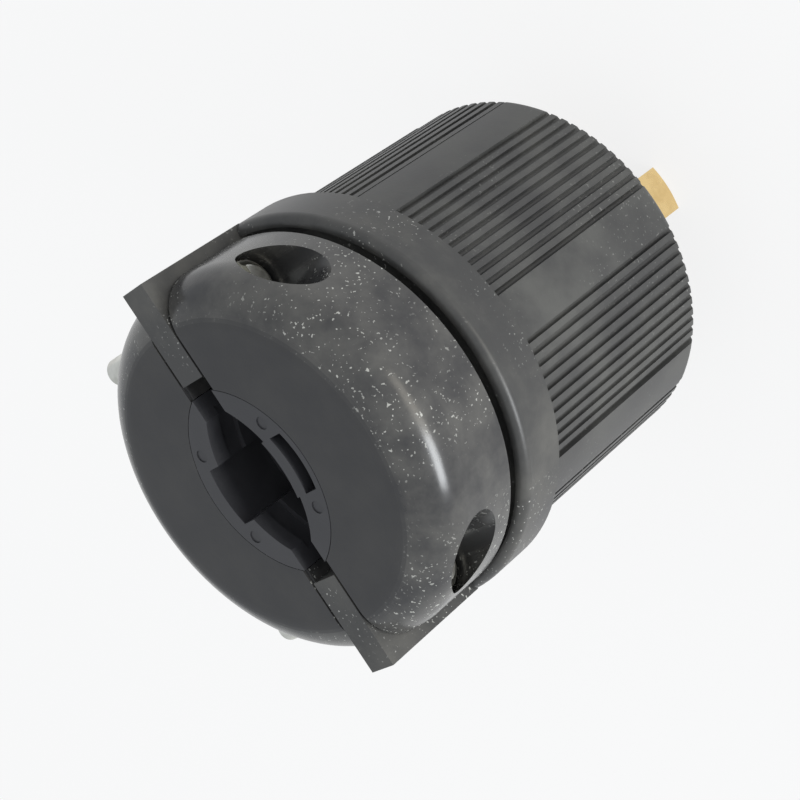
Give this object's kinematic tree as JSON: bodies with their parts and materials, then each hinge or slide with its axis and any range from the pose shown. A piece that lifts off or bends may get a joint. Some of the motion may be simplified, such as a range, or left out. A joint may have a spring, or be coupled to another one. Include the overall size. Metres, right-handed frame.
{
  "type": "locking power plug",
  "caption": "Round locking power plug standing on its curved blades, with a ribbed barrel and a domed split cord clamp screwed across a flat web.",
  "frame": {"origin": "on the plug axis, in the plane of the blade tips that the plug stands on", "axes": "+Z from the blade tips to the rear end face, +X along the flat web, -Y towards the clamp half with the screw heads"},
  "size_m": [0.058, 0.058, 0.0805],
  "materials": {
    "ribbed_plastic": "black moulded nylon, fine matte grain",
    "inner_plastic": "black moulded nylon, as moulded",
    "satin_plastic": "black moulded nylon, satin, lightly dusty",
    "gloss_plastic": "black moulded nylon, glossy sides with fine dust and scratches, matte end face",
    "insert_plastic": "black moulded nylon, smooth matte",
    "screw_steel": "zinc-plated steel",
    "blade_brass": "rolled brass, lightly worn",
    "plated_blade": "nickel-plated brass",
    "screw_brass": "turned brass",
    "green_screw": "green-coated steel"
  },
  "bodies": {
    "root": {"front_housing": "ribbed_plastic", "terminal_carrier": "inner_plastic", "rear_housing": "satin_plastic", "front_cord_clamp": "gloss_plastic", "back_cord_clamp": "gloss_plastic", "front_grip_insert": "insert_plastic", "back_grip_insert": "insert_plastic", "clamp_screw_left": "screw_steel", "clamp_screw_right": "screw_steel", "clamp_nut_left": "screw_steel", "clamp_nut_right": "screw_steel", "line_blade_x": "blade_brass", "line_blade_y": "blade_brass", "neutral_blade": "plated_blade", "ground_blade": "blade_brass", "line_x_terminal_screw": "screw_brass", "line_y_terminal_screw": "screw_brass", "neutral_terminal_screw": "screw_steel", "ground_terminal_screw": "green_screw", "line_x_wire_clamp": "screw_steel", "line_y_wire_clamp": "screw_steel", "neutral_wire_clamp": "screw_steel", "ground_wire_clamp": "screw_steel", "assembly_screw_left": "screw_steel", "assembly_screw_right": "screw_steel"}
  },
  "joints": []
}
